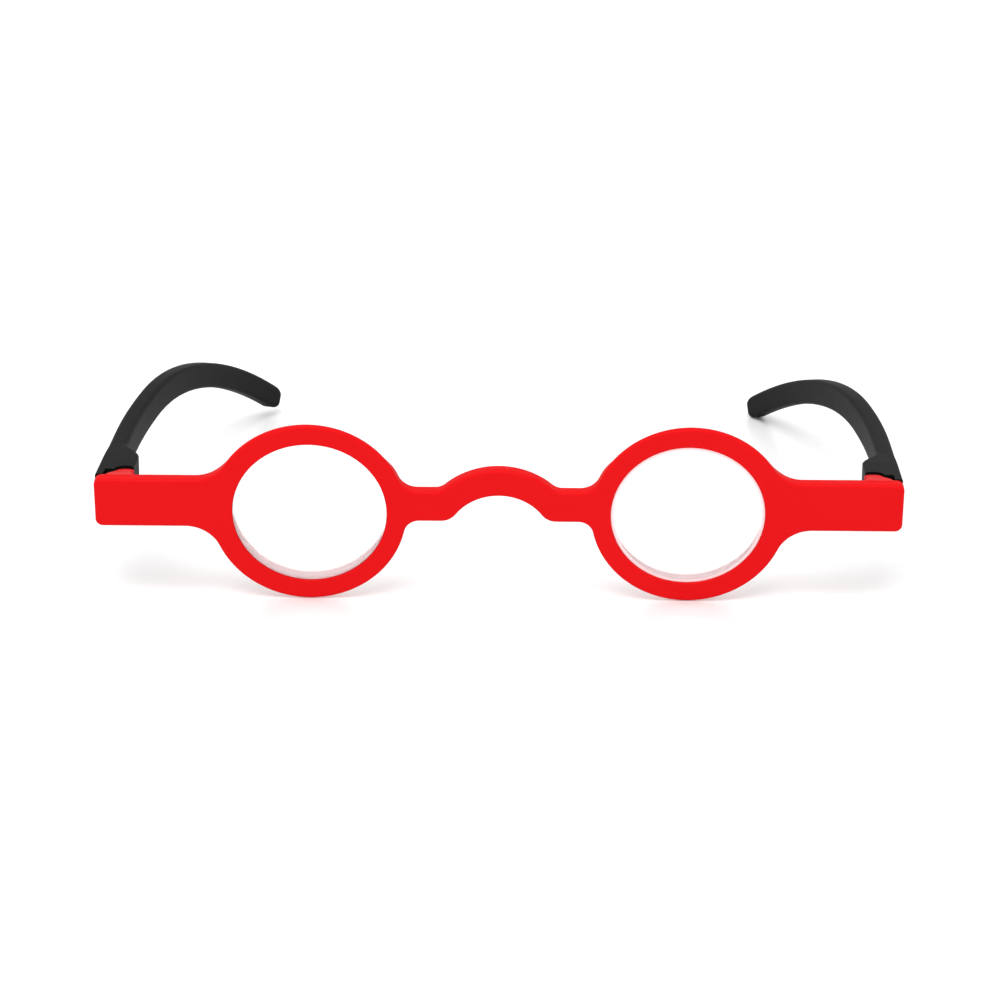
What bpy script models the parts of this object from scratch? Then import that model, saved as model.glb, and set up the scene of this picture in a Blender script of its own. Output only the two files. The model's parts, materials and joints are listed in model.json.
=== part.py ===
"""Folding reading glasses: a one-piece moulded front with two round lenses and two temples
on screwed three-knuckle hinges, standing open on its rims and its temple tips.

Metres, +Z up. The wearer looks along -Y, X runs along the front, and the origin is on the
surface the glasses stand on, midway between the front and the temple tips."""

from math import acos, asin, atan2, cos, hypot, pi, radians, sin, sqrt

import bmesh
import bpy
from mathutils import Matrix, Vector

MM = 0.001

# The front: outline sizes, measured in its own plane from the line through both lens centres.
FRONT_WIDTH = 136.0 * MM
FRONT_THICKNESS = 2.2 * MM
FRONT_EDGE_ROUND = 0.5 * MM
FRONT_LEAN = radians(13.1)
FRONT_Y = -64.8 * MM
LENS_SPACING = 63.7 * MM
OPENING_RADIUS = 13.0 * MM
RIM_WIDTH = 3.5 * MM
RIM_OUTSET = 0.2 * MM
END_TOP = 6.2 * MM
END_HEIGHT = 8.95 * MM
END_CORNER_RADIUS = 1.2 * MM
END_TOP_BLEND_RADIUS = 6.0 * MM
END_BOTTOM_BLEND_RADIUS = 6.2 * MM
BRIDGE_TOP = 8.4 * MM
BRIDGE_CROWN_RADIUS = 13.5 * MM
BRIDGE_BAND = 4.9 * MM
BRIDGE_SADDLE_RADIUS = 9.0 * MM
SHOULDER_TOP = 4.3 * MM
SHOULDER_HEIGHT = 5.8 * MM
SHOULDER_TOP_BLEND_RADIUS = 3.4 * MM
SHOULDER_BOTTOM_BLEND_RADIUS = 2.6 * MM
CROWN_BLEND_RADIUS = 2.5 * MM
SADDLE_CORNER_RADIUS = 3.0 * MM
OPENING_CHAMFER = 0.2 * MM

# The lens groove and the lenses.
GROOVE_DEPTH = 0.6 * MM
GROOVE_MOUTH = 1.3 * MM
LENS_SEAT_GAP = 0.08 * MM
LENS_EDGE_AHEAD = 0.8 * MM
LENS_EDGE_BEHIND = 2.8 * MM
LENS_EDGE_STEP = 0.25 * MM
LENS_FRONT_BULGE = 1.0 * MM
LENS_REAR_HOLLOW = 0.6 * MM

# The hinges: three knuckles round a vertical screw that enters from below.
HINGE_INSET = 4.8 * MM
HINGE_SETBACK = 4.2 * MM
KNUCKLE_RADIUS = 1.55 * MM
KNUCKLE_INNER_WALL = 1.0 * MM
KNUCKLE_GAP = 0.1 * MM
KNUCKLE_SWING_GAP = 0.25 * MM
MIDDLE_KNUCKLE = 2.9 * MM
SCREW_RADIUS = 0.6 * MM
SCREW_BORE_GAP = 0.06 * MM
SCREW_BITE = 2.1 * MM
SCREW_END_GAP = 0.2 * MM
SCREW_HEAD_RADIUS = 0.95 * MM
SCREW_HEAD_HEIGHT = 0.6 * MM
SCREW_HEAD_GAP = 0.1 * MM
SCREW_SLOT_WIDTH = 0.3 * MM
SCREW_SLOT_DEPTH = 0.3 * MM

# The temples: stations are measured along the outer top edge from the hinge screw's axis.
# The right temple is fully open. The left one rests folded in a little, slopes less and has
# its tip just clear of the surface, as the glasses stand on both rims and the right tip.
TEMPLE_LENGTH = 134.5 * MM
TEMPLE_OUTER_STEP = 0.05 * MM
TEMPLE_THICKNESS = 3.2 * MM
TEMPLE_EDGE_ROUND = 0.8 * MM
TEMPLE_HEIGHT = 5.6 * MM
TEMPLE_TIP_HEIGHT = 4.3 * MM
RIGHT_TEMPLE_DROP = radians(1.3)
LEFT_TEMPLE_DROP = radians(-0.7)
LEFT_TEMPLE_FOLD = radians(2.0)
LEFT_TIP_LIFT = 1.5 * MM
EAR_BEND_START = 53.5 * MM
EAR_BEND_LENGTH = 76.0 * MM
BOW_SPLAY = radians(1.3)
BOW_START = 24.0 * MM
BOW_ANGLE = radians(20.3)
BLOCK_INNER_WALL = 1.35 * MM
BLOCK_LENGTH = 8.0 * MM
BLOCK_FADE = 16.5 * MM
BLOCK_END_GAP = 0.15 * MM
SECTION_STEP = 3.6 * MM

RIM_RADIUS = OPENING_RADIUS + RIM_WIDTH
LENS_X = LENS_SPACING / 2
RIM_X = LENS_X + RIM_OUTSET
END_BOTTOM = END_TOP - END_HEIGHT
SHOULDER_BOTTOM = SHOULDER_TOP - SHOULDER_HEIGHT
HINGE_X = FRONT_WIDTH / 2 - HINGE_INSET
HINGE_Y = FRONT_Y + HINGE_SETBACK

# Height of the lens centres when the rims' front edges rest on the surface.
LENS_Z = (
    (RIM_RADIUS - FRONT_EDGE_ROUND) * cos(FRONT_LEAN)
    - FRONT_EDGE_ROUND * sin(FRONT_LEAN)
    + FRONT_EDGE_ROUND
)


def on_front(height, depth):
    """World Y and Z of a point at this height on the front and this depth behind its face."""
    y = depth * cos(FRONT_LEAN) - height * sin(FRONT_LEAN) + FRONT_Y
    z = depth * sin(FRONT_LEAN) + height * cos(FRONT_LEAN) + LENS_Z
    return y, z


# The hinge fills the height of the end piece at its rear face.
HINGE_TOP = on_front(END_TOP, FRONT_THICKNESS)[1] - 0.05 * MM
HINGE_BOTTOM = on_front(END_BOTTOM, FRONT_THICKNESS)[1] + 0.05 * MM
HINGE_MIDDLE = (HINGE_TOP + HINGE_BOTTOM) / 2
MIDDLE_BOTTOM = HINGE_MIDDLE - MIDDLE_KNUCKLE / 2
MIDDLE_TOP = HINGE_MIDDLE + MIDDLE_KNUCKLE / 2
BORE_RADIUS = SCREW_RADIUS + SCREW_BORE_GAP


def new_collection(name):
    collection = bpy.data.collections.new(name)
    bpy.context.scene.collection.children.link(collection)
    return collection


def new_material(name, colour, roughness, metallic=0.0, transmission=0.0):
    material = bpy.data.materials.new(name)
    material.use_nodes = True
    shader = material.node_tree.nodes["Principled BSDF"]
    shader.inputs["Base Color"].default_value = (*colour, 1.0)
    shader.inputs["Roughness"].default_value = roughness
    shader.inputs["Metallic"].default_value = metallic
    shader.inputs["Transmission Weight"].default_value = transmission
    return material


def new_object(name, data, collection, location=(0, 0, 0), rotation=(0, 0, 0), parent=None):
    made = bpy.data.objects.new(name, data)
    made.location = location
    made.rotation_euler = rotation
    made.parent = parent
    collection.objects.link(made)
    return made


def as_cutter(made):
    made.hide_render = True
    made.display_type = "WIRE"
    return made


def cylinder(name, radius, bottom, top, collection, location, sides=32):
    """A vertical cylinder between two heights that are measured from the location's Z."""
    mesh = bpy.data.meshes.new(name)
    form = bmesh.new()
    middle = Matrix.Translation((0, 0, (bottom + top) / 2))
    bmesh.ops.create_cone(
        form,
        cap_ends=True,
        segments=sides,
        radius1=radius,
        radius2=radius,
        depth=top - bottom,
        matrix=middle,
    )
    form.to_mesh(mesh)
    form.free()
    return new_object(name, mesh, collection, location)


def box(name, low, high, collection, location, rotation=(0, 0, 0), parent=None):
    """A box between two corners that are measured from the location."""
    mesh = bpy.data.meshes.new(name)
    form = bmesh.new()
    size = [b - a for a, b in zip(low, high)]
    centre = [(a + b) / 2 for a, b in zip(low, high)]
    matrix = Matrix.Translation(centre) @ Matrix.Diagonal((*size, 1))
    bmesh.ops.create_cube(form, size=1.0, matrix=matrix)
    form.to_mesh(mesh)
    form.free()
    return new_object(name, mesh, collection, location, rotation, parent)


def lug(name, side, root, bottom, top, collection, location):
    """One of the front's knuckles with its web: a D outline whose flat side is at the root."""
    inner_end = pi + acos(KNUCKLE_INNER_WALL / KNUCKLE_RADIUS)
    outline = [(KNUCKLE_RADIUS, root)]
    outline += arc(0, 0, KNUCKLE_RADIUS, 0, inner_end, radians(10))
    outline += [(-KNUCKLE_INNER_WALL, root)]
    mesh = bpy.data.meshes.new(name)
    form = bmesh.new()
    foot = form.faces.new([form.verts.new((side * x, y, bottom)) for x, y in outline])
    made = bmesh.ops.extrude_face_region(form, geom=[foot])["geom"]
    raised = [item for item in made if isinstance(item, bmesh.types.BMVert)]
    bmesh.ops.translate(form, verts=raised, vec=(0, 0, top - bottom))
    bmesh.ops.recalc_face_normals(form, faces=form.faces)
    form.to_mesh(mesh)
    form.free()
    return new_object(name, mesh, collection, location)


def turned(name, profile, steps, collection, location, rotation, parent=None):
    """A profile of (radius, height) points from top to bottom, turned round its own Z axis."""
    mesh = bpy.data.meshes.new(name)
    points = [(radius, 0, height) for radius, height in profile]
    mesh.from_pydata(points, [(i, i + 1) for i in range(len(points) - 1)], [])
    made = new_object(name, mesh, collection, location, rotation, parent)
    screw = made.modifiers.new("turn", "SCREW")
    screw.steps = steps
    screw.render_steps = steps
    screw.use_merge_vertices = True
    screw.merge_threshold = 0.00001
    screw.use_smooth_shade = True
    return made


def boolean(target, other, operation):
    modifier = target.modifiers.new(f"{operation.lower()} {other.name}", "BOOLEAN")
    modifier.operation = operation
    modifier.object = other
    modifier.solver = "EXACT"
    return modifier


def arc(cx, cy, radius, start, end, step=radians(6)):
    """Points along an arc, from one angle to the other, both included."""
    count = max(2, round(abs(end - start) / step))
    angles = [start + (end - start) * i / count for i in range(count + 1)]
    return [(cx + radius * cos(a), cy + radius * sin(a)) for a in angles]


def blend_beside_rim(line, radius):
    """Offset from the rim's centre of the arc that blends a level edge into the round rim."""
    height = line + radius if line > 0 else line - radius
    return sqrt((RIM_RADIUS + radius) ** 2 - height**2), height


def front_outline():
    """The front's outline as (x, height) points, clockwise from the top of the bridge."""
    end_x = FRONT_WIDTH / 2
    crown_y = BRIDGE_TOP - BRIDGE_CROWN_RADIUS
    saddle_y = BRIDGE_TOP - BRIDGE_BAND - BRIDGE_SADDLE_RADIUS

    # The crown of the bridge comes down to the level top of its shoulder.
    fillet_y = SHOULDER_TOP + CROWN_BLEND_RADIUS
    reach = BRIDGE_CROWN_RADIUS + CROWN_BLEND_RADIUS
    fillet_x = sqrt(reach**2 - (fillet_y - crown_y) ** 2)
    meet = atan2(fillet_y - crown_y, fillet_x)
    points = arc(0, crown_y, BRIDGE_CROWN_RADIUS, pi / 2, meet)
    points += arc(fillet_x, fillet_y, CROWN_BLEND_RADIUS, meet + pi, 1.5 * pi, radians(12))

    # The shoulder's top edge turns up into the rim, which runs over to the end piece.
    dx, dy = blend_beside_rim(SHOULDER_TOP, SHOULDER_TOP_BLEND_RADIUS)
    rim_start = pi - asin(dy / hypot(dx, dy))
    points += arc(
        RIM_X - dx, dy, SHOULDER_TOP_BLEND_RADIUS, 1.5 * pi, rim_start + pi, radians(12)
    )
    dx, dy = blend_beside_rim(END_TOP, END_TOP_BLEND_RADIUS)
    rim_end = atan2(dy, dx)
    points += arc(RIM_X, 0, RIM_RADIUS, rim_start, rim_end)[1:-1]
    points += arc(RIM_X + dx, dy, END_TOP_BLEND_RADIUS, rim_end + pi, 1.5 * pi, radians(10))

    # The end piece, with its two rounded corners.
    corner_x = end_x - END_CORNER_RADIUS
    corner_y = END_TOP - END_CORNER_RADIUS
    points += arc(corner_x, corner_y, END_CORNER_RADIUS, pi / 2, 0, radians(15))
    corner_y = END_BOTTOM + END_CORNER_RADIUS
    points += arc(corner_x, corner_y, END_CORNER_RADIUS, 0, -pi / 2, radians(15))

    # The lower edge turns down into the rim, which runs under to the bridge.
    dx, dy = blend_beside_rim(END_BOTTOM, END_BOTTOM_BLEND_RADIUS)
    rim_start = atan2(dy, dx)
    points += arc(
        RIM_X + dx, dy, END_BOTTOM_BLEND_RADIUS, pi / 2, rim_start + pi, radians(10)
    )
    dx, dy = blend_beside_rim(SHOULDER_BOTTOM, SHOULDER_BOTTOM_BLEND_RADIUS)
    rim_end = -pi - atan2(dy, dx)
    points += arc(RIM_X, 0, RIM_RADIUS, rim_start, rim_end)[1:-1]
    points += arc(
        RIM_X - dx, dy, SHOULDER_BOTTOM_BLEND_RADIUS, rim_end + pi, pi / 2, radians(15)
    )

    # The shoulder's lower edge rounds into the saddle that rests on the nose.
    fillet_y = SHOULDER_BOTTOM + SADDLE_CORNER_RADIUS
    reach = BRIDGE_SADDLE_RADIUS + SADDLE_CORNER_RADIUS
    fillet_x = sqrt(reach**2 - (fillet_y - saddle_y) ** 2)
    meet = atan2(fillet_y - saddle_y, fillet_x)
    points += arc(fillet_x, fillet_y, SADDLE_CORNER_RADIUS, -pi / 2, meet - pi, radians(12))
    points += arc(0, saddle_y, BRIDGE_SADDLE_RADIUS, meet, pi / 2)[1:]

    left = [(-x, y) for x, y in reversed(points) if x > 1e-6]
    return points + left


def flat_mesh(name, outline, thickness, edge_round, collection):
    """A mesh of a flat outline with rounded edges, lying in XY and centred on its thickness."""
    curve = bpy.data.curves.new(name, "CURVE")
    curve.dimensions = "2D"
    curve.fill_mode = "BOTH"
    curve.extrude = thickness / 2 - edge_round
    curve.bevel_depth = edge_round
    curve.bevel_resolution = 1
    curve.offset = -edge_round
    spline = curve.splines.new("POLY")
    spline.points.add(len(outline) - 1)
    for point, (x, y) in zip(spline.points, outline):
        point.co = (x, y, 0, 1)
    spline.use_cyclic_u = True
    holder = new_object(f"{name} outline", curve, collection)
    graph = bpy.context.evaluated_depsgraph_get()
    mesh = bpy.data.meshes.new_from_object(holder.evaluated_get(graph))
    mesh.name = name
    form = bmesh.new()
    form.from_mesh(mesh)
    bmesh.ops.remove_doubles(form, verts=form.verts, dist=0.000005)
    bmesh.ops.recalc_face_normals(form, faces=form.faces)
    form.to_mesh(mesh)
    form.free()
    bpy.data.objects.remove(holder)
    bpy.data.curves.remove(curve)
    return mesh


def opening_profile():
    """The turned cutter of a lens opening, with the V groove that holds the lens."""
    half = FRONT_THICKNESS / 2
    lip = OPENING_RADIUS + OPENING_CHAMFER
    past = 1.0 * MM
    return [
        (0, half + past),
        (lip + past, half + past),
        (OPENING_RADIUS, half - OPENING_CHAMFER),
        (OPENING_RADIUS, GROOVE_MOUTH / 2),
        (OPENING_RADIUS + GROOVE_DEPTH, 0),
        (OPENING_RADIUS, -GROOVE_MOUTH / 2),
        (OPENING_RADIUS, -half + OPENING_CHAMFER),
        (lip + past, -half - past),
        (0, -half - past),
    ]


def lens_profile():
    """A lens for near sight: domed in front, hollow behind, with a V ground on its edge."""
    face = OPENING_RADIUS - LENS_EDGE_STEP
    slope = 2 * GROOVE_DEPTH / GROOVE_MOUTH
    apex = OPENING_RADIUS + GROOVE_DEPTH - LENS_SEAT_GAP * hypot(1, slope)
    wall = OPENING_RADIUS - LENS_SEAT_GAP
    foot = (apex - wall) / slope
    count = 6
    front = [
        (face * i / count, LENS_EDGE_AHEAD + LENS_FRONT_BULGE * (1 - (i / count) ** 2))
        for i in range(count + 1)
    ]
    rear = [
        (face * i / count, LENS_REAR_HOLLOW * (1 - (i / count) ** 2) - LENS_EDGE_BEHIND)
        for i in range(count, -1, -1)
    ]
    return front + [(wall, foot), (apex, 0), (wall, -foot)] + rear


def temple_heading(station):
    part = max(0.0, (station - BOW_START) / (TEMPLE_LENGTH - BOW_START))
    return -BOW_SPLAY + BOW_ANGLE * part


def temple_slope(station, side, ear_bend):
    drop = RIGHT_TEMPLE_DROP if side > 0 else LEFT_TEMPLE_DROP
    part = min(1.0, max(0.0, (station - EAR_BEND_START) / EAR_BEND_LENGTH))
    return -drop - ear_bend * part


def temple_path(station, side, ear_bend):
    """Outer top edge: X, Y and Z from the hinge's middle, then its heading and slope."""
    steps = max(1, round(abs(station) / (0.5 * MM)))
    step = station / steps
    x = HINGE_INSET - TEMPLE_OUTER_STEP
    y = 0.0
    z = HINGE_TOP - HINGE_MIDDLE
    for i in range(steps):
        along = (i + 0.5) * step
        heading = temple_heading(along)
        slope = temple_slope(along, side, ear_bend)
        x -= step * sin(heading) * cos(slope)
        y += step * cos(heading) * cos(slope)
        z += step * sin(slope)
    slope = temple_slope(station, side, ear_bend)
    return Vector((x, y, z)), temple_heading(station), slope


def ease(part):
    part = min(1.0, max(0.0, part))
    return part * part * (3 - 2 * part)


def temple_size(station):
    """Thickness and height of the temple: a deep block at the hinge, then a slim bar."""
    block = HINGE_INSET + BLOCK_INNER_WALL - TEMPLE_OUTER_STEP
    fade = ease((station - BLOCK_LENGTH) / (BLOCK_FADE - BLOCK_LENGTH))
    thickness = block + (TEMPLE_THICKNESS - block) * fade
    hinge = HINGE_TOP - HINGE_BOTTOM
    height = hinge + (TEMPLE_HEIGHT - hinge) * ease(station / (1.5 * BLOCK_FADE))
    part = max(0.0, station - 1.5 * BLOCK_FADE) / (TEMPLE_LENGTH - 1.5 * BLOCK_FADE)
    height += (TEMPLE_TIP_HEIGHT - TEMPLE_HEIGHT) * part
    return thickness, height


def rounded_end(station, reach, least):
    """Share of the full section that is left where the tip rounds off over this reach."""
    part = max(0.0, 1 - (TEMPLE_LENGTH - station) / reach)
    return max(least, sqrt(max(0.0, 1 - part**2)))


def temple_section(station, side, ear_bend):
    """A rounded rectangle across the temple, as points round the path."""
    point, heading, slope = temple_path(station, side, ear_bend)
    thickness, height = temple_size(station)
    outward = Vector((cos(heading), sin(heading), 0))
    up = Vector((sin(heading) * sin(slope), -cos(heading) * sin(slope), cos(slope)))
    middle = point - outward * thickness / 2 - up * height / 2
    thickness *= rounded_end(station, TEMPLE_THICKNESS / 2, 0.45)
    height *= rounded_end(station, TEMPLE_TIP_HEIGHT / 2, 0.3)
    radius = min(TEMPLE_EDGE_ROUND, 0.49 * thickness, 0.49 * height)
    a = thickness / 2 - radius
    b = height / 2 - radius
    ring = []
    for cx, cy, start in ((a, b, 0), (-a, b, pi / 2), (-a, -b, pi), (a, -b, 1.5 * pi)):
        for x, y in arc(cx, cy, radius, start, start + pi / 2, radians(45)):
            spot = middle + outward * x + up * y
            ring.append(Vector((side * spot.x, spot.y, spot.z)))
    return ring


def temple_stations():
    """Stations along the temple, closer together at the block's shoulder and at the tip."""
    stations = [-HINGE_SETBACK - 2 * MM, 0.0]
    count = 8
    stations += [
        BLOCK_LENGTH + (BLOCK_FADE - BLOCK_LENGTH) * i / count for i in range(count + 1)
    ]
    last = TEMPLE_LENGTH - TEMPLE_TIP_HEIGHT / 2
    count = round((last - BLOCK_FADE) / SECTION_STEP)
    stations += [BLOCK_FADE + (last - BLOCK_FADE) * i / count for i in range(1, count + 1)]
    tip = TEMPLE_TIP_HEIGHT / 2
    stations += [last + tip * part for part in (0.3, 0.55, 0.75, 0.9, 1.0)]
    return stations


def ear_bend_to_rest(side):
    """The ear bend that brings the temple's tip down to the height at which it rests."""
    lift = 0 if side > 0 else LEFT_TIP_LIFT
    low, high = radians(-30), radians(80)
    for _ in range(30):
        bend = (low + high) / 2
        tip = [
            spot.z
            for station in temple_stations()[-8:]
            for spot in temple_section(station, side, bend)
        ]
        if min(tip) + HINGE_MIDDLE > lift:
            low = bend
        else:
            high = bend
    return low


def temple_mesh(name, side):
    """The temple's loft through its sections, closed at both ends."""
    form = bmesh.new()
    ear_bend = ear_bend_to_rest(side)
    rings = [
        [form.verts.new(spot) for spot in temple_section(station, side, ear_bend)]
        for station in temple_stations()
    ]
    for ring, following in zip(rings, rings[1:]):
        for i, vert in enumerate(ring):
            after = (i + 1) % len(ring)
            form.faces.new((vert, ring[after], following[after], following[i]))
    form.faces.new(rings[0])
    form.faces.new(rings[-1])
    bmesh.ops.recalc_face_normals(form, faces=form.faces)
    mesh = bpy.data.meshes.new(name)
    form.to_mesh(mesh)
    form.free()
    mesh.shade_smooth()
    return mesh


for leftover in list(bpy.data.objects):
    bpy.data.objects.remove(leftover)

glasses = new_collection("folding reading glasses")
cutters = new_collection("cutters")

red = new_material("red soft-touch plastic", (0.80, 0.014, 0.018), 0.45)
black = new_material("black soft-touch plastic", (0.035, 0.035, 0.036), 0.5)
clear = new_material("clear lens plastic", (0.98, 0.98, 0.98), 0.02, transmission=1.0)
steel = new_material("hinge screw steel", (0.62, 0.62, 0.60), 0.3, metallic=1.0)

# The front stands on its rims and leans forward by the angle of its temples.
front_plane = new_object(
    "front_plane", None, glasses, (0, FRONT_Y, LENS_Z), (FRONT_LEAN, 0, 0)
)
upright = (pi / 2, 0, 0)
front = new_object(
    "front_frame",
    flat_mesh("front_frame", front_outline(), FRONT_THICKNESS, FRONT_EDGE_ROUND, glasses),
    glasses,
    (0, FRONT_THICKNESS / 2, 0),
    upright,
    front_plane,
)
front.data.materials.append(red)

for side, word in ((-1, "left"), (1, "right")):
    axis = (side * HINGE_X, HINGE_Y, 0)

    # The front's two knuckles, each with a web into the end piece.
    for level, low, high in (
        ("lower", HINGE_BOTTOM, MIDDLE_BOTTOM - KNUCKLE_GAP),
        ("upper", MIDDLE_TOP + KNUCKLE_GAP, HINGE_TOP),
    ):
        root = on_front((low + high) / 2 - LENS_Z, FRONT_THICKNESS / 2)[0] - HINGE_Y
        knuckle = lug(f"{level} knuckle {word}", side, root, low, high, cutters, axis)
        boolean(front, as_cutter(knuckle), "UNION")

    # The screw's way: a recess for its head, a clear bore, and a blind end in the top knuckle.
    head_z = HINGE_BOTTOM + SCREW_HEAD_HEIGHT + SCREW_HEAD_GAP
    blind_z = MIDDLE_TOP + KNUCKLE_GAP + SCREW_BITE + SCREW_END_GAP
    recess_radius = SCREW_HEAD_RADIUS + SCREW_HEAD_GAP
    recess = cylinder(
        f"head recess {word}", recess_radius, HINGE_BOTTOM - MM, head_z, cutters, axis
    )
    bore = cylinder(
        f"front bore {word}", BORE_RADIUS, HINGE_BOTTOM - MM, blind_z, cutters, axis
    )
    boolean(front, as_cutter(bore), "DIFFERENCE")
    boolean(front, as_cutter(recess), "DIFFERENCE")

    opening = turned(
        f"lens opening {word}",
        opening_profile(),
        54,
        cutters,
        (side * LENS_X, FRONT_THICKNESS / 2, 0),
        upright,
        front_plane,
    )
    boolean(front, as_cutter(opening), "DIFFERENCE")

    lens = turned(
        f"lens_{word}",
        lens_profile(),
        54,
        glasses,
        (side * LENS_X, FRONT_THICKNESS / 2, 0),
        upright,
        front_plane,
    )
    lens.data.materials.append(clear)

    # The temple turns on its own origin, which is on the screw's axis.
    pivot = (side * HINGE_X, HINGE_Y, HINGE_MIDDLE)
    fold = 0 if side > 0 else -LEFT_TEMPLE_FOLD
    mesh = temple_mesh(f"temple_{word}", side)
    temple = new_object(f"temple_{word}", mesh, glasses, pivot, (0, 0, fold))
    temple.data.materials.append(black)
    plane_y, plane_z = on_front(0, FRONT_THICKNESS + BLOCK_END_GAP)
    ahead = box(
        f"front clearance {word}",
        (-12 * MM, -20 * MM, -20 * MM),
        (12 * MM, 0, 20 * MM),
        cutters,
        (0, plane_y - HINGE_Y, plane_z - HINGE_MIDDLE),
        (FRONT_LEAN, 0, 0),
        temple,
    )
    swing = KNUCKLE_RADIUS + KNUCKLE_SWING_GAP
    inner, outer = sorted((-side * 8 * MM, side * swing))
    notch = box(
        f"swing notch {word}",
        (inner, -12 * MM, HINGE_BOTTOM - 2 * MM),
        (outer, 0, HINGE_TOP + 2 * MM),
        cutters,
        (0, 0, -HINGE_MIDDLE),
        parent=temple,
    )
    boolean(temple, as_cutter(ahead), "DIFFERENCE")
    boolean(temple, as_cutter(notch), "DIFFERENCE")
    lower = cylinder(
        f"lower swing {word}", swing, HINGE_BOTTOM - 2 * MM, MIDDLE_BOTTOM, cutters, axis
    )
    upper = cylinder(
        f"upper swing {word}", swing, MIDDLE_TOP, HINGE_TOP + 2 * MM, cutters, axis
    )
    boolean(temple, as_cutter(lower), "DIFFERENCE")
    boolean(temple, as_cutter(upper), "DIFFERENCE")
    middle = cylinder(
        f"middle knuckle {word}", KNUCKLE_RADIUS, MIDDLE_BOTTOM, MIDDLE_TOP, cutters, axis
    )
    boolean(temple, as_cutter(middle), "UNION")
    temple_bore = cylinder(
        f"temple bore {word}", BORE_RADIUS, HINGE_BOTTOM - MM, HINGE_TOP + MM, cutters, axis, 24
    )
    boolean(temple, as_cutter(temple_bore), "DIFFERENCE")

    # The screw, head down, with its slot facing out below.
    under = HINGE_BOTTOM + SCREW_HEAD_GAP / 2
    shank_top = blind_z - SCREW_END_GAP
    screw = turned(
        f"hinge_screw_{word}",
        [
            (0, shank_top),
            (SCREW_RADIUS * 0.7, shank_top),
            (SCREW_RADIUS, shank_top - SCREW_RADIUS * 0.3),
            (SCREW_RADIUS, under + SCREW_HEAD_HEIGHT),
            (SCREW_HEAD_RADIUS, under + SCREW_HEAD_HEIGHT),
            (SCREW_HEAD_RADIUS, under + SCREW_HEAD_HEIGHT * 0.3),
            (SCREW_HEAD_RADIUS * 0.8, under),
            (0, under),
        ],
        24,
        glasses,
        axis,
        (0, 0, 0),
    )
    slot = box(
        f"screw slot {word}",
        (-2 * MM, -SCREW_SLOT_WIDTH / 2, under - MM),
        (2 * MM, SCREW_SLOT_WIDTH / 2, under + SCREW_SLOT_DEPTH),
        cutters,
        axis,
    )
    boolean(screw, as_cutter(slot), "DIFFERENCE")
    screw.data.materials.append(steel)
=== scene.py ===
import json
from math import atan2, asin, cos, hypot, pi, radians, sin, sqrt

import bmesh
import bpy
from mathutils import Matrix, Vector


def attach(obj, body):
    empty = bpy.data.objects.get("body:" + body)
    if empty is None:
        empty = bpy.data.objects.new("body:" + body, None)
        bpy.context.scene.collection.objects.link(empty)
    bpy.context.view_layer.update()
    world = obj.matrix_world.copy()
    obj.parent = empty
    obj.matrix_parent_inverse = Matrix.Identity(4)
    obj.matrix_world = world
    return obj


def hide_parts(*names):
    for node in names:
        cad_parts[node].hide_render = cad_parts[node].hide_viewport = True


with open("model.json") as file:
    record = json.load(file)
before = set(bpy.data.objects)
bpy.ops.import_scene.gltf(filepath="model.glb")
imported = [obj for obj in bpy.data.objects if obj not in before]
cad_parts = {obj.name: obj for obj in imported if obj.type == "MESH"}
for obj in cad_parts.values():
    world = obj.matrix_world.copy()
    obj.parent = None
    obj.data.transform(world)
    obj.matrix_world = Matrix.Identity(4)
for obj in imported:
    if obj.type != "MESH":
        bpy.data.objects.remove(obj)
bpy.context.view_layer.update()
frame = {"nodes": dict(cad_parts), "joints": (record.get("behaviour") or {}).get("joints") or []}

mm = 0.001
hinge_of = {
    joint["child"]: Vector(joint["pos_m"]) for joint in frame["joints"]
}

# ---------------------------------------------------------------------------
# The front. One injection moulding in red soft-touch plastic: two round rims,
# an arched bridge and two flat end pieces, each with a hinge lug behind it.
# It leans forward and stands on the lower edges of its rims.

front_half_width = 68.0 * mm
front_thickness = 2.2 * mm
front_lean = radians(13.1)
front_ahead_of_hinge = 4.2 * mm
front_edge_round = 0.5 * mm
rear_edge_round = 0.35 * mm
rim_side_wall = 0.85 * mm
rim_draft = 1.05 * mm
rim_draft_from = radians(25)
rim_draft_span = radians(28)
lens_x = 31.85 * mm
rim_x = lens_x + 0.2 * mm
opening_radius = 13.0 * mm
rim_radius = 16.5 * mm
end_top = 6.2 * mm
end_bottom = -2.75 * mm
end_corner = 1.25 * mm
end_top_blend = 6.0 * mm
end_bottom_blend = 6.2 * mm
bridge_top = 8.4 * mm
crown_radius = 13.5 * mm
crown_y = bridge_top - crown_radius
saddle_radius = 9.0 * mm
saddle_y = bridge_top - 4.9 * mm - saddle_radius
shoulder_top = 4.3 * mm
shoulder_bottom = -1.4 * mm
shoulder_top_blend = 3.4 * mm
shoulder_bottom_blend = 2.6 * mm
crown_blend = 2.5 * mm
saddle_corner = 3.0 * mm
groove_depth = 0.6 * mm
groove_half = 0.65 * mm
opening_round = 0.22 * mm

hinge_right = hinge_of["right_temple"]
lens_z = (
    (rim_radius - front_edge_round) * cos(front_lean)
    - front_edge_round * sin(front_lean)
    + front_edge_round
)
front_place = Matrix.Translation(
    (0, hinge_right.y - front_ahead_of_hinge, lens_z)
) @ Matrix.Rotation(front_lean, 4, "X")
end_piece_top = front_place @ Vector((0, front_thickness, end_top))
end_piece_bottom = front_place @ Vector((0, front_thickness, end_bottom))
lug_top = end_piece_top.z - 0.05 * mm
lug_bottom = end_piece_bottom.z + 0.05 * mm
middle_knuckle = 2.9 * mm


def arc(cx, cy, radius, start, end, step=radians(2.5)):
    """Points along an arc, both ends included."""
    count = max(3, round(abs(end - start) / step))
    angles = [start + (end - start) * i / count for i in range(count + 1)]
    return [(cx + radius * cos(a), cy + radius * sin(a)) for a in angles]


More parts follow.
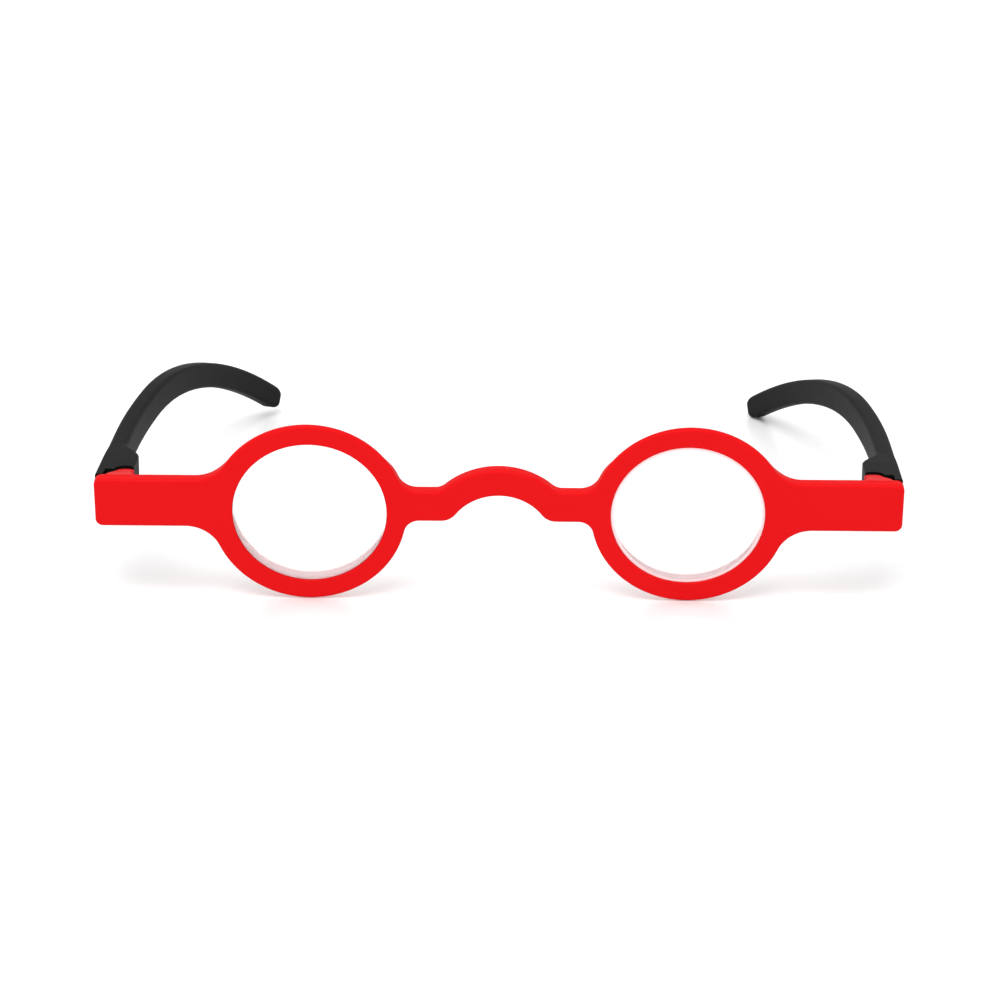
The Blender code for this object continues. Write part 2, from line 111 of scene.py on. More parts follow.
def beside_rim(level, radius):
    """Centre of the arc that blends a level edge into the rim, from the lens centre."""
    height = level + radius if level > 0 else level - radius
    return sqrt((rim_radius + radius) ** 2 - height**2), height


def front_half_outline():
    """Right half of the outline, clockwise from the top of the bridge to its saddle."""
    small = radians(9)
    level = shoulder_top + crown_blend
    reach = sqrt((crown_radius + crown_blend) ** 2 - (level - crown_y) ** 2)
    meet = atan2(level - crown_y, reach)
    points = arc(0, crown_y, crown_radius, pi / 2, meet)
    points += arc(reach, level, crown_blend, meet + pi, 1.5 * pi, small)
    dx, dy = beside_rim(shoulder_top, shoulder_top_blend)
    start = pi - asin(dy / hypot(dx, dy))
    points += arc(rim_x - dx, dy, shoulder_top_blend, 1.5 * pi, start + pi, small)
    dx, dy = beside_rim(end_top, end_top_blend)
    end = atan2(dy, dx)
    points += arc(rim_x, 0, rim_radius, start, end)[1:-1]
    points += arc(rim_x + dx, dy, end_top_blend, end + pi, 1.5 * pi, radians(5))
    corner_x = front_half_width - end_corner
    points += arc(corner_x, end_top - end_corner, end_corner, pi / 2, 0, small)
    points += arc(corner_x, end_bottom + end_corner, end_corner, 0, -pi / 2, small)
    dx, dy = beside_rim(end_bottom, end_bottom_blend)
    start = atan2(dy, dx)
    points += arc(rim_x + dx, dy, end_bottom_blend, pi / 2, start + pi, radians(5))
    dx, dy = beside_rim(shoulder_bottom, shoulder_bottom_blend)
    end = -pi - atan2(dy, dx)
    points += arc(rim_x, 0, rim_radius, start, end)[1:-1]
    points += arc(rim_x - dx, dy, shoulder_bottom_blend, end + pi, pi / 2, small)
    level = shoulder_bottom + saddle_corner
    reach = sqrt((saddle_radius + saddle_corner) ** 2 - (level - saddle_y) ** 2)
    meet = atan2(level - saddle_y, reach)
    points += arc(reach, level, saddle_corner, -pi / 2, meet - pi, small)
    points += arc(0, saddle_y, saddle_radius, meet, pi / 2)[1:]
    return points


def without_repeats(points, least=0.02 * mm):
    kept = []
    for point in points:
        if not kept or hypot(point[0] - kept[-1][0], point[1] - kept[-1][1]) > least:
            kept.append(point)
    return kept


def outward_normals(points):
    """Unit normals of a clockwise outline, pointing out of it."""
    normals = []
    for i, (x, y) in enumerate(points):
        x0, y0 = points[i - 1]
        x1, y1 = points[(i + 1) % len(points)]
        a = Vector((x - x0, y - y0)).normalized()
        b = Vector((x1 - x, y1 - y)).normalized()
        along = (a + b).normalized()
        normals.append((-along.y, along.x))
    return normals


def skin_between(form, rings):
    """Quads between rings of equal length. Returns the faces."""
    faces = []
    for ring, following in zip(rings, rings[1:]):
        for i in range(len(ring)):
            after = (i + 1) % len(ring)
            quad = (ring[i], ring[after], following[after], following[i])
            faces.append(form.faces.new(quad))
    for face in faces:
        face.smooth = True
    return faces


def loop_edges(form, ring):
    pairs = zip(ring, ring[1:] + ring[:1])
    return [form.edges.get(pair) or form.edges.new(pair) for pair in pairs]


def finished(name, form, material, place=None):
    """A new object from a bmesh, with its faces turned outward."""
    bmesh.ops.recalc_face_normals(form, faces=form.faces)
    mesh = bpy.data.meshes.new(name)
    form.to_mesh(mesh)
    form.free()
    if place is not None:
        mesh.transform(place)
    made = bpy.data.objects.new(name, mesh)
    bpy.context.scene.collection.objects.link(made)
    if material is not None:
        mesh.materials.append(material)
    return made


def rim_share(x, height):
    """1 on the upper and lower parts of a rim, falling to 0 towards its neighbours."""
    turned = atan2(abs(height), abs(abs(x) - rim_x))
    part = min(1.0, max(0.0, (turned - rim_draft_from) / rim_draft_span))
    return part * part * (3 - 2 * part)


def front_section(x, height):
    """(inset, depth) of the outer edge: round in front, then drawn in on the rims."""
    draft = rim_draft * rim_share(x, height)
    section = []
    for i in range(7):
        a = pi / 2 * i / 6
        section.append((front_edge_round * (1 - sin(a)), front_edge_round * (1 - cos(a))))
    wall_end = front_thickness - rear_edge_round
    for i in range(5):
        part = i / 4
        depth = rim_side_wall + (wall_end - rim_side_wall) * part
        section.append((draft * part**1.25, depth))
    for i in range(1, 5):
        a = pi / 2 * i / 4
        inset = draft + rear_edge_round * (1 - cos(a))
        section.append((inset, wall_end + rear_edge_round * sin(a)))
    return section


def opening_section():
    """(radius, depth) through the rim's inner wall, with the groove that holds the lens."""
    middle = front_thickness / 2
    section = []
    for i in range(5):
        a = pi / 2 * i / 4
        radius = opening_radius + opening_round * (1 - sin(a))
        section.append((radius, opening_round * (1 - cos(a))))
    section += [
        (opening_radius, middle - groove_half),
        (opening_radius + groove_depth, middle),
        (opening_radius, middle + groove_half),
    ]
    for i in range(5):
        a = pi / 2 * i / 4
        radius = opening_radius + opening_round * (1 - cos(a))
        section.append((radius, front_thickness - opening_round * (1 - sin(a))))
    return section


def front_blank():
    """The front without its hinge lugs."""
    half = front_half_outline()
    outline = without_repeats(half + [(-x, y) for x, y in reversed(half) if x > 1e-6])
    normals = outward_normals(outline)
    sections = [front_section(x, y) for x, y in outline]
    form = bmesh.new()
    rings = []
    for level in range(len(sections[0])):
        ring = []
        for (x, y), (nx, ny), section in zip(outline, normals, sections):
            inset, depth = section[level]
            ring.append(form.verts.new((x - nx * inset, depth, y - ny * inset)))
        rings.append(ring)
    skin_between(form, rings)
    front_edges = loop_edges(form, rings[0])
    rear_edges = loop_edges(form, rings[-1])
    round_count = 144
    for side in (-1, 1):
        bores = []
        for radius, depth in opening_section():
            bores.append(
                [
                    form.verts.new(
                        (
                            side * lens_x + radius * cos(2 * pi * i / round_count),
                            depth,
                            radius * sin(2 * pi * i / round_count),
                        )
                    )
                    for i in range(round_count)
                ]
            )
        skin_between(form, bores)
        front_edges += loop_edges(form, bores[0])
        rear_edges += loop_edges(form, bores[-1])
    for edges in (front_edges, rear_edges):
        bmesh.ops.triangle_fill(
            form, use_beauty=True, use_dissolve=False, edges=edges, normal=(0, 1, 0)
        )
    return form


# Each lug is a hump in plan, higher at the end piece than at its rounded back.
knuckle_radius = 1.55 * mm
lug_outer_foot = 3.0 * mm
lug_inner_foot = 1.6 * mm
lug_root_sink = 1.0 * mm
lug_fall = 0.4 * mm
lug_edge_round = 0.3 * mm
bore_radius = 0.66 * mm
bore_past_middle = 2.3 * mm
head_recess_radius = 1.05 * mm
head_recess_depth = 0.7 * mm


def lug_outline(side, foot_y):
    """Plan of a lug from the hinge axis: two flanks that meet the round of the knuckle."""
    round_back = arc(0, 0, knuckle_radius, radians(18), radians(215), radians(7))
    outer = []
    for i in range(7):
        part = i / 6
        eased = part * part * (3 - 2 * part)
        end_x, end_y = round_back[0]
        outer.append(
            (
                lug_outer_foot + (end_x - lug_outer_foot) * eased,
                foot_y + (end_y - foot_y) * part,
            )
        )
    inner = []
    for i in range(1, 6):
        part = i / 5
        eased = part * part * (3 - 2 * part)
        start_x, start_y = round_back[-1]
        inner.append(
            (
                start_x - (lug_inner_foot + start_x) * eased,
                start_y + (foot_y - start_y) * part,
            )
        )
    root = foot_y - lug_root_sink
    foot = [(-lug_inner_foot, root), (lug_outer_foot, root)]
    outline = foot[1:] + outer + round_back[1:] + inner + foot[:1]
    return [(side * x, y) for x, y in outline]


def lug_body(name, side, low, high, ramp):
    """One knuckle of the front, with rounded edges at its top and bottom."""
    level = (low + high) / 2 - lens_z
    rear_y = front_thickness * cos(front_lean) - level * sin(front_lean)
    foot_y = rear_y - front_ahead_of_hinge
    outline = lug_outline(side, foot_y)
    if side > 0:
        outline = list(reversed(outline))
    normals = outward_normals(outline)
    form = bmesh.new()
    rings = []
    levels = []
    for i in range(5):
        a = pi / 2 * i / 4
        levels.append((lug_edge_round * (1 - sin(a)), low + lug_edge_round * (1 - cos(a))))
    for i in range(5):
        a = pi / 2 * i / 4
        levels.append((lug_edge_round * (1 - cos(a)), high - lug_edge_round * (1 - sin(a))))
    for inset, z in levels:
        ring = []
        for (x, y), (nx, ny) in zip(outline, normals):
            away = max(0.0, y - foot_y) / (knuckle_radius - foot_y)
            fall = ramp * away if z > (low + high) / 2 else 0
            ring.append(form.verts.new((x - nx * inset, y - ny * inset, z - fall)))
        rings.append(ring)
    skin_between(form, rings)
    for ring in (rings[0], rings[-1]):
        form.faces.new(ring)
    bmesh.ops.triangulate(form, faces=[f for f in form.faces if len(f.verts) > 4])
    centre = Matrix.Translation((side * hinge_right.x, hinge_right.y, 0))
    return finished(name, form, None, centre)


def round_cutter(name, side, radius, low, high, sides=48):
    form = bmesh.new()
    bmesh.ops.create_cone(
        form,
        cap_ends=True,
        segments=sides,
        radius1=radius,
        radius2=radius,
        depth=high - low,
        matrix=Matrix.Translation((side * hinge_right.x, hinge_right.y, (low + high) / 2)),
    )
    return finished(name, form, None)


def cut_or_join(target, others, operation):
    """Applies Boolean steps to the target and removes the helpers."""
    for other in others:
        step = target.modifiers.new(other.name, "BOOLEAN")
        step.operation = operation
        step.object = other
        step.solver = "EXACT"
    bpy.context.view_layer.update()
    graph = bpy.context.evaluated_depsgraph_get()
    mesh = bpy.data.meshes.new_from_object(target.evaluated_get(graph))
    target.modifiers.clear()
    target.data = mesh
    for other in others:
        bpy.data.objects.remove(other)


def new_group(name, inputs, outputs):
    """A shader node group with named sockets, and its two end nodes."""
    group = bpy.data.node_groups.new(name, "ShaderNodeTree")
    for socket, kind, value in inputs:
        made = group.interface.new_socket(name=socket, in_out="INPUT", socket_type=kind)
        if value is not None:
            made.default_value = value
    for socket, kind in outputs:
        group.interface.new_socket(name=socket, in_out="OUTPUT", socket_type=kind)
    return group, group.nodes.new("NodeGroupInput"), group.nodes.new("NodeGroupOutput")


def moulded_skin_group():
    """The fine grain and slow mottle of a soft-touch moulding.

    Grain is a height for a bump, Mottle a slow change of tone, Rub a patchy mask."""
    group, given, out = new_group(
        "moulded skin",
        [
            ("Grain Scale", "NodeSocketFloat", 3000.0),
            ("Mottle Scale", "NodeSocketFloat", 90.0),
        ],
        [
            ("Grain", "NodeSocketFloat"),
            ("Mottle", "NodeSocketFloat"),
            ("Rub", "NodeSocketFloat"),
        ],
    )
    place = group.nodes.new("ShaderNodeTexCoord")
    grain = group.nodes.new("ShaderNodeTexNoise")
    grain.inputs["Detail"].default_value = 3.0
    grain.inputs["Roughness"].default_value = 0.6
    mottle = group.nodes.new("ShaderNodeTexNoise")
    mottle.inputs["Detail"].default_value = 2.0
    rub = group.nodes.new("ShaderNodeTexNoise")
    rub.inputs["Scale"].default_value = 420.0
    rub.inputs["Detail"].default_value = 4.0
    rub_range = group.nodes.new("ShaderNodeMapRange")
    rub_range.inputs["From Min"].default_value = 0.42
    rub_range.inputs["From Max"].default_value = 0.66
    link = group.links.new
    for texture in (grain, mottle, rub):
        link(place.outputs["Object"], texture.inputs["Vector"])
    link(given.outputs["Grain Scale"], grain.inputs["Scale"])
    link(given.outputs["Mottle Scale"], mottle.inputs["Scale"])
    link(grain.outputs["Fac"], out.inputs["Grain"])
    link(mottle.outputs["Fac"], out.inputs["Mottle"])
    link(rub.outputs["Fac"], rub_range.inputs["Value"])
    link(rub_range.outputs["Result"], out.inputs["Rub"])
    return group


moulded_skin = moulded_skin_group()


def soft_touch_plastic(name, deep, bright, roughness, grain_depth, shine):
    """A satin moulding: two close tones, a fine grain and slightly uneven roughness."""
    material = bpy.data.materials.new(name)
    material.use_nodes = True
    nodes = material.node_tree.nodes
    link = material.node_tree.links.new
    shader = nodes["Principled BSDF"]
    skin = nodes.new("ShaderNodeGroup")
    skin.node_tree = moulded_skin
    tone = nodes.new("ShaderNodeMix")
    tone.data_type = "RGBA"
    tone.inputs[6].default_value = (*deep, 1)
    tone.inputs[7].default_value = (*bright, 1)
    low, high = roughness
    gloss = nodes.new("ShaderNodeMapRange")
    gloss.inputs["To Min"].default_value = low
    gloss.inputs["To Max"].default_value = high
    bump = nodes.new("ShaderNodeBump")
    bump.inputs["Strength"].default_value = 0.35
    bump.inputs["Distance"].default_value = grain_depth
    link(skin.outputs["Mottle"], tone.inputs[0])
    link(tone.outputs[2], shader.inputs["Base Color"])
    link(skin.outputs["Rub"], gloss.inputs["Value"])
    link(gloss.outputs["Result"], shader.inputs["Roughness"])
    link(skin.outputs["Grain"], bump.inputs["Height"])
    link(bump.outputs["Normal"], shader.inputs["Normal"])
    shader.inputs["Specular IOR Level"].default_value = shine
    return material


red_plastic = soft_touch_plastic(
    "red soft-touch plastic",
    (0.600, 0.0043, 0.0060),
    (0.635, 0.0056, 0.0074),
    (0.44, 0.52),
    0.02 * mm,
    0.04,
)

front = finished("moulded_front", front_blank(), red_plastic, front_place)
middle_z = (lug_top + lug_bottom) / 2
middle_low = middle_z - middle_knuckle / 2
middle_high = middle_z + middle_knuckle / 2
knuckle_gap = 0.1 * mm
lugs = []
bores = []
for side in (-1, 1):
    lugs.append(
        lug_body(f"lower lug {side}", side, lug_bottom, middle_low - knuckle_gap, 0)
    )
    lugs.append(
        lug_body(f"upper lug {side}", side, middle_high + knuckle_gap, lug_top, lug_fall)
    )
    bores.append(
        round_cutter(
            f"bore {side}",
            side,
            bore_radius,
            lug_bottom - mm,
            middle_high + bore_past_middle,
        )
    )
    bores.append(
        round_cutter(
            f"recess {side}",
            side,
            head_recess_radius,
            lug_bottom - mm,
            lug_bottom + head_recess_depth,
        )
    )
cut_or_join(front, lugs, "UNION")
cut_or_join(front, bores, "DIFFERENCE")
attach(front, "front")
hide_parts("front_frame")

# ---------------------------------------------------------------------------
# The lenses. Clear polished plastic for near sight, domed in front and hollow
# behind. Each edge is ground matt with a V that snaps into the rim's groove.

lens_seat_gap = 0.06 * mm
lens_edge_ahead = 0.8 * mm
lens_edge_behind = 2.8 * mm
lens_front_bulge = 1.0 * mm
lens_rear_hollow = 0.6 * mm
lens_edge_break = 0.12 * mm
lens_bevel = {"left": 0.2 * mm, "right": 0.6 * mm}
lens_rear_bevel = 0.2 * mm
wide_bevel = 0.3 * mm


def clear_lens_plastic():
    """Polished clear plastic with the faintest unevenness in its polish."""
    material = bpy.data.materials.new("clear lens plastic")
    material.use_nodes = True
    nodes = material.node_tree.nodes
    link = material.node_tree.links.new
    shader = nodes["Principled BSDF"]
    shader.inputs["Transmission Weight"].default_value = 1.0
    shader.inputs["IOR"].default_value = 1.2
    place = nodes.new("ShaderNodeTexCoord")
    film = nodes.new("ShaderNodeTexNoise")
    film.inputs["Scale"].default_value = 160.0
    film.inputs["Detail"].default_value = 3.0
    polish = nodes.new("ShaderNodeMapRange")
    polish.inputs["To Min"].default_value = 0.0
    polish.inputs["To Max"].default_value = 0.03
    tint = nodes.new("ShaderNodeMix")
    tint.data_type = "RGBA"
    tint.inputs[6].default_value = (0.985, 0.99, 0.99, 1)
    tint.inputs[7].default_value = (0.995, 1.0, 1.0, 1)
    link(place.outputs["Object"], film.inputs["Vector"])
    link(film.outputs["Fac"], polish.inputs["Value"])
    link(polish.outputs["Result"], shader.inputs["Roughness"])
    link(film.outputs["Fac"], tint.inputs[0])
    link(tint.outputs[2], shader.inputs["Base Color"])
    return material


def ground_edge_with_painted_red_bounce():
    """The matt edge of the lens, cut by a grinding wheel: fine marks run round it. Its pale pink
    tint is painted red light bounced from the frame onto a whitish edge.
    """
    material = bpy.data.materials.new("ground lens edge with painted red bounce")
    material.use_nodes = True
    nodes = material.node_tree.nodes
    link = material.node_tree.links.new
    shader = nodes["Principled BSDF"]
    shader.inputs["Transmission Weight"].default_value = 0.15
    shader.inputs["IOR"].default_value = 1.2
    place = nodes.new("ShaderNodeTexCoord")
    marks = nodes.new("ShaderNodeTexNoise")
    marks.inputs["Scale"].default_value = 2200.0
    marks.inputs["Detail"].default_value = 4.0
    tone = nodes.new("ShaderNodeMix")
    tone.data_type = "RGBA"
    # Painted red bounce: both pale pink tones stand in for red light from the frame falling on
    # the whitish ground edge.
    tone.inputs[6].default_value = (0.94, 0.70, 0.715, 1)
    tone.inputs[7].default_value = (1.0, 0.80, 0.81, 1)
    matt = nodes.new("ShaderNodeMapRange")
    matt.inputs["To Min"].default_value = 0.55
    matt.inputs["To Max"].default_value = 0.75
    bump = nodes.new("ShaderNodeBump")
    bump.inputs["Strength"].default_value = 0.3
    bump.inputs["Distance"].default_value = 0.02 * mm
    link(place.outputs["Object"], marks.inputs["Vector"])
    link(marks.outputs["Fac"], tone.inputs[0])
    link(tone.outputs[2], shader.inputs["Base Color"])
    link(marks.outputs["Fac"], matt.inputs["Value"])
    link(matt.outputs["Result"], shader.inputs["Roughness"])
    link(marks.outputs["Fac"], bump.inputs["Height"])
    link(bump.outputs["Normal"], shader.inputs["Normal"])
    return material


def lens_section(bevel):
    """(radius, depth from the rim's middle) from front to rear, and which of it is ground."""
    edge = opening_radius - bevel
    count = 14
    section = []
    for i in range(count + 1):
        part = i / count
        bulge = lens_edge_ahead + lens_front_bulge * (1 - part**2)
        section.append((edge * part, -bulge))
    wall = opening_radius - lens_seat_gap
    slope = groove_depth / groove_half
    apex = opening_radius + groove_depth - lens_seat_gap * hypot(1, slope)
    foot = (apex - wall) / slope
    ground_from = len(section) - (bevel > wide_bevel)
    section += [
        (wall, -lens_edge_ahead + lens_edge_break),
        (wall, -foot),
        (apex, 0),
        (wall, foot),
        (wall, lens_edge_behind - lens_edge_break),
    ]
    ground_to = len(section)
    for i in range(count, -1, -1):
        part = i / count
        hollow = lens_rear_hollow * (1 - part**2)
        section.append(((opening_radius - lens_rear_bevel) * part, lens_edge_behind - hollow))
    return section, ground_from, ground_to


clear_plastic = clear_lens_plastic()
ground_edge = ground_edge_with_painted_red_bounce()
for side, word in ((-1, "left"), (1, "right")):
    section, ground_from, ground_to = lens_section(lens_bevel[word])
    form = bmesh.new()
    turns = 160
    rings = []
    for radius, depth in section[1:-1]:
        rings.append(
            [
                form.verts.new(
                    (
                        side * lens_x + radius * cos(2 * pi * i / turns),
                        front_thickness / 2 + depth,
                        radius * sin(2 * pi * i / turns),
                    )
                )
                for i in range(turns)
            ]
        )
    faces = skin_between(form, rings)
    for number, face in enumerate(faces):
        band = number // turns + 1
        if ground_from <= band < ground_to:
            face.material_index = 1
    for (radius, depth), ring in ((section[0], rings[0]), (section[-1], rings[-1])):
        pole = form.verts.new((side * lens_x, front_thickness / 2 + depth, 0))
        for i in range(turns):
            form.faces.new((ring[i], ring[(i + 1) % turns], pole)).smooth = True
    lens = finished(f"near_sight_lens_{word}", form, clear_plastic, front_place)
    lens.data.materials.append(ground_edge)
    lens.data.set_sharp_from_angle(angle=radians(35))
    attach(lens, "front")
    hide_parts(f"lens_{word}")

# ---------------------------------------------------------------------------
# The temples. Each is one moulding in black soft-touch plastic: a deep block at
# the hinge, a slim bar, and an ear bend that turns down and in to a round tip.

temple_length = 134.5 * mm
temple_outer_step = 0.05 * mm
temple_thickness = 3.2 * mm
temple_edge_round = 0.8 * mm
block_edge_round = 0.4 * mm
temple_height = 5.6 * mm
temple_tip_height = 4.3 * mm
temple_drop = {1: radians(1.3), -1: radians(-0.7)}
temple_rest_fold = {1: 0.0, -1: radians(2.0)}
temple_tip_lift = {1: 0.0, -1: 1.5 * mm}
ear_bend_start = 53.5 * mm
ear_bend_length = 76.0 * mm
bow_splay = radians(1.3)
bow_start = 24.0 * mm
bow_angle = radians(20.3)
block_inner_wall = 1.35 * mm
block_length = 8.0 * mm
block_fade = 16.5 * mm
block_front_gap = 0.15 * mm
hinge_inset = front_half_width - hinge_right.x
tip_reach = 0.8 * temple_tip_height
swing = knuckle_radius + 0.25 * mm
pocket = 3.35 * mm
pocket_floor = -0.2 * mm


def temple_heading(station):
    part = max(0.0, (station - bow_start) / (temple_length - bow_start))
    return -bow_splay + bow_angle * part


def temple_slope(station, side, ear_bend):
    part = min(1.0, max(0.0, (station - ear_bend_start) / ear_bend_length))
    return -temple_drop[side] - ear_bend * part


def ease(part):
    part = min(1.0, max(0.0, part))
    return part * part * (3 - 2 * part)


def temple_size(station):
    """Thickness and height of the temple at a station along its outer top edge."""
    block = hinge_inset + block_inner_wall - temple_outer_step
    fade = ease((station - block_length) / (block_fade - block_length))
    thickness = block + (temple_thickness - block) * fade
    hinge = lug_top - lug_bottom
    height = hinge + (temple_height - hinge) * ease(station / (1.5 * block_fade))
    part = max(0.0, station - 1.5 * block_fade) / (temple_length - 1.5 * block_fade)
    return thickness, height + (temple_tip_height - temple_height) * part


def rounded_end(station, reach, least):
    part = max(0.0, 1 - (temple_length - station) / reach)
    return max(least, sqrt(max(0.0, 1 - part**2)))


def temple_line(stations, side, ear_bend):
    """Points of the outer top edge at these stations, from the hinge's middle."""
    spots = {}
    for direction in (-1, 1):
        x = hinge_inset - temple_outer_step
        y = 0.0
        z = lug_top - middle_z
        step = direction * 0.5 * mm
        wanted = sorted((s for s in stations if s * direction >= 0), key=abs)
        along = 0.0
        for station in wanted:
            while abs(station - along) > 1e-9:
                move = step if abs(station - along) > abs(step) else station - along
                heading = temple_heading(along + move / 2)
                slope = temple_slope(along + move / 2, side, ear_bend)
                x -= move * sin(heading) * cos(slope)
                y += move * cos(heading) * cos(slope)
                z += move * sin(slope)
                along += move
            spots[station] = Vector((x, y, z))
    return spots


def temple_rings(stations, side, ear_bend):
    """Rounded rectangles across the temple, one for each station."""
    spots = temple_line(stations, side, ear_bend)
    rings = []
    for station in stations:
        heading = temple_heading(station)
        slope = temple_slope(station, side, ear_bend)
        thickness, height = temple_size(station)
        outward = Vector((cos(heading), sin(heading), 0))
        up = Vector((sin(heading) * sin(slope), -cos(heading) * sin(slope), cos(slope)))
        middle = spots[station] - outward * thickness / 2 - up * height / 2
        thickness *= rounded_end(station, temple_thickness / 2, 0.12)
        height *= rounded_end(station, tip_reach, 0.12)
        past_block = ease((station - block_length) / (block_fade - block_length))
        radius = block_edge_round + (temple_edge_round - block_edge_round) * past_block
        radius = min(radius, 0.49 * thickness, 0.49 * height)
        a = thickness / 2 - radius
        b = height / 2 - radius
        ring = []
        for cx, cy, start in ((a, b, 0), (-a, b, pi / 2), (-a, -b, pi), (a, -b, 1.5 * pi)):
            for x, y in arc(cx, cy, radius, start, start + pi / 2, radians(15)):
                spot = middle + outward * x + up * y
                ring.append(Vector((side * spot.x, spot.y, spot.z)))
        rings.append(ring)
    return rings


def spread(low, high, step):
    count = max(1, round((high - low) / step))
    return [low + (high - low) * i / count for i in range(1, count + 1)]


def temple_stations():
    last = temple_length - tip_reach
    stations = [-front_ahead_of_hinge - 2 * mm, -1 * mm, 0.0]
    stations += spread(0.0, block_length, 2 * mm)
    stations += spread(block_length, block_fade, 0.7 * mm)
    stations += spread(block_fade, last, 1.8 * mm)
    stations += [last + tip_reach * sin(pi / 2 * i / 9) for i in range(1, 9)]
    stations.append(temple_length)
    return stations


def ear_bend_to_rest(side):
    """The ear bend that brings the tip down to the height at which it rests."""
    tip_stations = [0.0] + temple_stations()[-12:]
    low, high = radians(-30), radians(80)
    for _ in range(26):
        bend = (low + high) / 2
        rings = temple_rings(tip_stations, side, bend)[1:]
        if min(spot.z for ring in rings for spot in ring) + middle_z > temple_tip_lift[side]:
            low = bend
        else:
            high = bend
    return low


def box_cutter(name, low, high, place):
    form = bmesh.new()
    size = [b - a for a, b in zip(low, high)]
    centre = [(a + b) / 2 for a, b in zip(low, high)]
    fit = place @ Matrix.Translation(centre) @ Matrix.Diagonal((*size, 1))
    bmesh.ops.create_cube(form, size=1.0, matrix=fit)
    return finished(name, form, None)


black_plastic = soft_touch_plastic(
    "black soft-touch plastic",
    (0.0052, 0.0052, 0.0051),
    (0.0058, 0.0058, 0.0057),
    (0.49, 0.51),
    0.02 * mm,
    0.020,
)
for side, word in ((-1, "left"), (1, "right")):
    axis = Vector((side * hinge_right.x, hinge_right.y, 0))
    rest = Matrix.Rotation(side * temple_rest_fold[side], 4, "Z")
    ear_bend = ear_bend_to_rest(side)
    form = bmesh.new()
    rings = [
        [form.verts.new(spot) for spot in ring]
        for ring in temple_rings(temple_stations(), side, ear_bend)
    ]
    skin_between(form, rings)
    form.faces.new(rings[0])
    form.faces.new(rings[-1])
    hinge_middle = Matrix.Translation((axis.x, axis.y, middle_z)) @ rest
    temple = finished(f"moulded_temple_{word}", form, black_plastic, hinge_middle)
    ahead = front_place @ Vector((axis.x, front_thickness + block_front_gap, 0))
    at_axis = Matrix.Translation(axis) @ rest
    lean = at_axis @ Matrix.Translation(ahead - axis) @ Matrix.Rotation(front_lean, 4, "X")
    low = lug_bottom - 2 * mm
    high = lug_top + 2 * mm
    past = 12 * mm
    far_past = 20 * mm
    inner, outer = sorted((-side * 8 * mm, side * swing))
    near, far = sorted((0, side * pocket))
    cut_or_join(
        temple,
        [
            box_cutter("ahead", (-past, -far_past, -far_past), (past, 0, far_past), lean),
            box_cutter("notch", (inner, -past, low), (outer, 0, high), at_axis),
            box_cutter("pocket", (near, -past, low), (far, pocket_floor, high), at_axis),
            round_cutter("lower swing", side, swing, low, middle_low),
            round_cutter("upper swing", side, swing, middle_high, high),
        ],
        "DIFFERENCE",
    )
    cut_or_join(
        temple,
        [round_cutter("middle knuckle", side, knuckle_radius, middle_low, middle_high)],
        "UNION",
    )
    cut_or_join(
        temple,
        [round_cutter("temple bore", side, bore_radius, low, high, 32)],
        "DIFFERENCE",
    )
    temple.data.set_sharp_from_angle(angle=radians(35))
    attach(temple, f"{word}_temple")
    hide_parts(f"temple_{word}")

# ---------------------------------------------------------------------------
# The hinge screws. Small turned steel screws with slotted heads, driven from
# below through the three knuckles. They keep their places and take a finish.


def turned_steel():
    """Bright steel with the fine rings that a lathe leaves."""
    material = bpy.data.materials.new("turned screw steel")
    material.use_nodes = True
    nodes = material.node_tree.nodes
    link = material.node_tree.links.new
    shader = nodes["Principled BSDF"]
    shader.inputs["Metallic"].default_value = 1.0
    place = nodes.new("ShaderNodeTexCoord")
    rings = nodes.new("ShaderNodeTexNoise")
    rings.inputs["Scale"].default_value = 6000.0
    rings.inputs["Detail"].default_value = 3.0
    tone = nodes.new("ShaderNodeMix")
    tone.data_type = "RGBA"
    tone.inputs[6].default_value = (0.50, 0.50, 0.49, 1)
    tone.inputs[7].default_value = (0.66, 0.66, 0.64, 1)
    polish = nodes.new("ShaderNodeMapRange")
    polish.inputs["To Min"].default_value = 0.22
    polish.inputs["To Max"].default_value = 0.38
    bump = nodes.new("ShaderNodeBump")
    bump.inputs["Strength"].default_value = 0.25
    bump.inputs["Distance"].default_value = 0.01 * mm
    link(place.outputs["Object"], rings.inputs["Vector"])
    link(rings.outputs["Fac"], tone.inputs[0])
    link(tone.outputs[2], shader.inputs["Base Color"])
    link(rings.outputs["Fac"], polish.inputs["Value"])
    link(polish.outputs["Result"], shader.inputs["Roughness"])
    link(rings.outputs["Fac"], bump.inputs["Height"])
    link(bump.outputs["Normal"], shader.inputs["Normal"])
    return material


screw_steel = turned_steel()
for word in ("left", "right"):
    screw = frame["nodes"][f"hinge_screw_{word}"]
    screw.data.materials.clear()
    screw.data.materials.append(screw_steel)

# ---------------------------------------------------------------------------
# The table, the light and the camera. A white, slightly glossy table top under
# one large soft light from the viewer's side and an even pale surround.


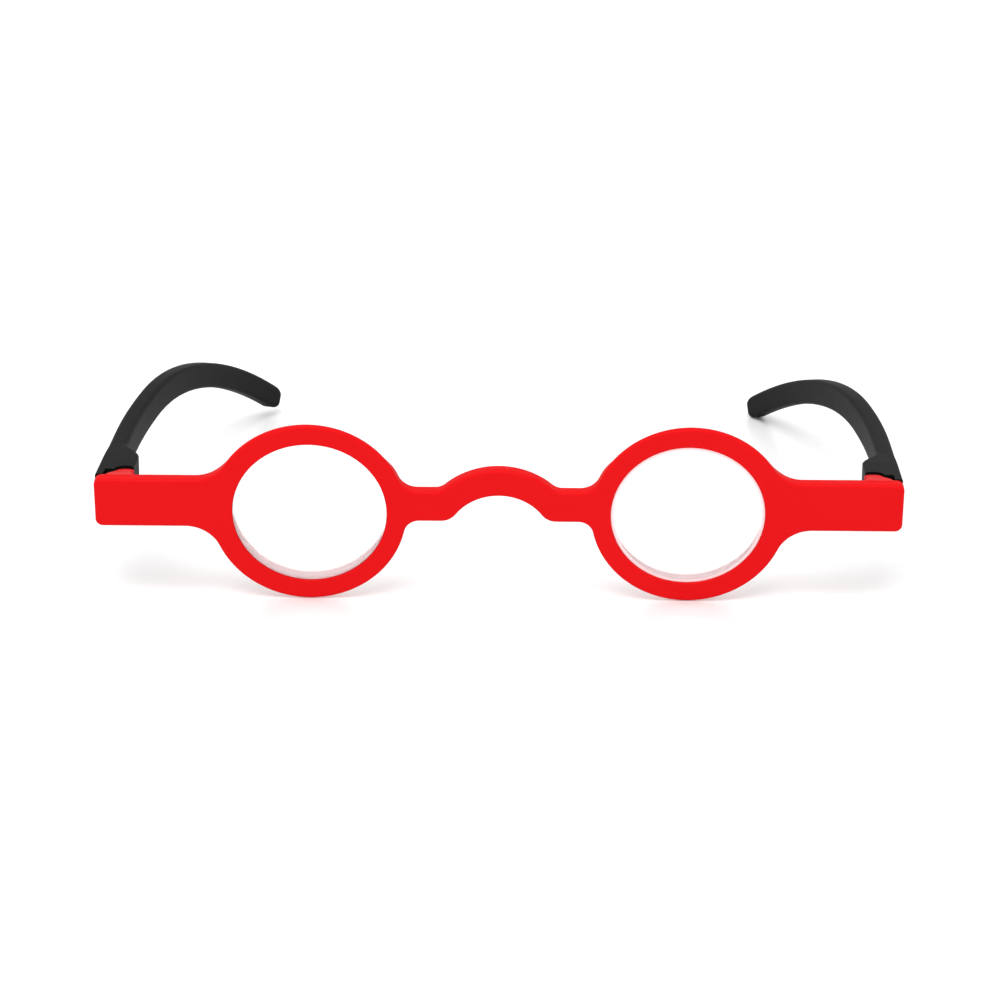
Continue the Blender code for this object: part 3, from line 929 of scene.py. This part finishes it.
def white_table():
    material = bpy.data.materials.new("white table")
    material.use_nodes = True
    nodes = material.node_tree.nodes
    link = material.node_tree.links.new
    shader = nodes["Principled BSDF"]
    place = nodes.new("ShaderNodeTexCoord")
    clouds = nodes.new("ShaderNodeTexNoise")
    clouds.inputs["Scale"].default_value = 4.0
    tone = nodes.new("ShaderNodeMix")
    tone.data_type = "RGBA"
    tone.inputs[6].default_value = (0.93, 0.93, 0.93, 1)
    tone.inputs[7].default_value = (0.95, 0.95, 0.95, 1)
    link(place.outputs["Object"], clouds.inputs["Vector"])
    link(clouds.outputs["Fac"], tone.inputs[0])
    link(tone.outputs[2], shader.inputs["Base Color"])
    shader.inputs["Roughness"].default_value = 0.3
    return material


form = bmesh.new()
bmesh.ops.create_grid(form, x_segments=8, y_segments=8, size=4.0)
table = finished("table_top", form, white_table(), Matrix.Translation((0, 0, -0.0001)))
for face in table.data.polygons:
    if face.normal.z < 0:
        table.data.flip_normals()
        break

world = bpy.data.worlds.new("pale surround")
world.use_nodes = True
surround = world.node_tree.nodes["Background"]
surround.inputs["Color"].default_value = (1.0, 1.0, 1.0, 1)
surround.inputs["Strength"].default_value = 1.0
bpy.context.scene.world = world
bpy.context.scene.view_settings.view_transform = "Standard"


def area_light(name, place, aim, size, power):
    lamp = bpy.data.lights.new(name, "AREA")
    lamp.shape = "DISK"
    lamp.size = size
    lamp.energy = power
    made = bpy.data.objects.new(name, lamp)
    made.location = place
    towards = Vector(aim) - Vector(place)
    made.rotation_euler = towards.to_track_quat("-Z", "Y").to_euler()
    bpy.context.scene.collection.objects.link(made)
    return made


area_light("key light", (-0.25, -1.8, 2.15), (0, 0, 0), 1.6, 45.0)

view_distance = 600.0 * mm
view_height = radians(15.72)
view_turn = radians(-0.35)
view_roll = radians(0.36)
view_aim = Vector((0.21 * mm, hinge_right.y - front_ahead_of_hinge, 18.63 * mm))
camera_data = bpy.data.cameras.new("camera")
camera_data.sensor_width = 36.0
camera_data.lens = 128.56
camera_data.clip_start = 0.01
camera = bpy.data.objects.new("camera", camera_data)
camera.matrix_world = (
    Matrix.Translation(view_aim)
    @ Matrix.Rotation(-view_turn, 4, "Z")
    @ Matrix.Translation((0, -view_distance * cos(view_height), view_distance * sin(view_height)))
    @ Matrix.Rotation(pi / 2 - view_height, 4, "X")
    @ Matrix.Rotation(view_roll, 4, "Z")
)
bpy.context.scene.collection.objects.link(camera)
bpy.context.scene.camera = camera
